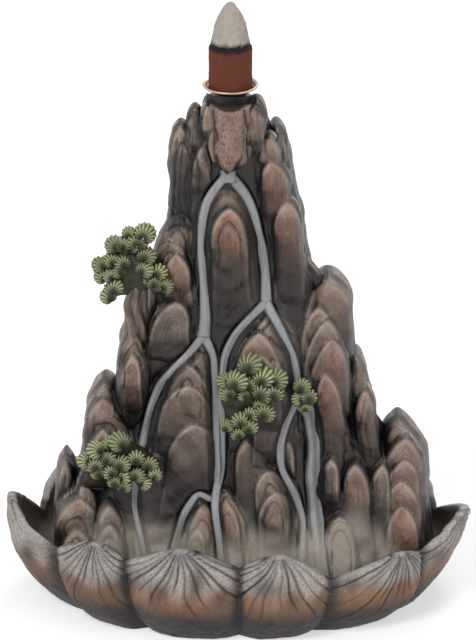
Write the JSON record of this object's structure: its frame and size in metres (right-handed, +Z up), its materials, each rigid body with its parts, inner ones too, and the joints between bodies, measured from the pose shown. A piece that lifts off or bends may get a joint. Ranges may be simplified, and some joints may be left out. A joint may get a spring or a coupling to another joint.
{
  "type": "backflow incense burner",
  "caption": "Craggy cast mountain standing in a bowl of petals, with a small flared brass cup and a hollow incense cone on its top and carved channels for the falling smoke",
  "frame": {"origin": "centre of the flat underside of the bowl", "axes": "+X right as seen from the front, +Y to the back, +Z up"},
  "size_m": [0.1431, 0.0918, 0.1919],
  "materials": {
    "painted_resin": "cast resin, hand painted: dark wash in the creases, copper on the bellies, grey dry brushing on the edges",
    "brass": "spun brass, darkened body, bright rim",
    "incense": "pressed incense powder, charred at the middle, pale ash on top"
  },
  "bodies": {
    "root": {"burner_casting": "painted_resin", "cone_cup": "brass", "incense_cone": "incense"}
  },
  "joints": []
}
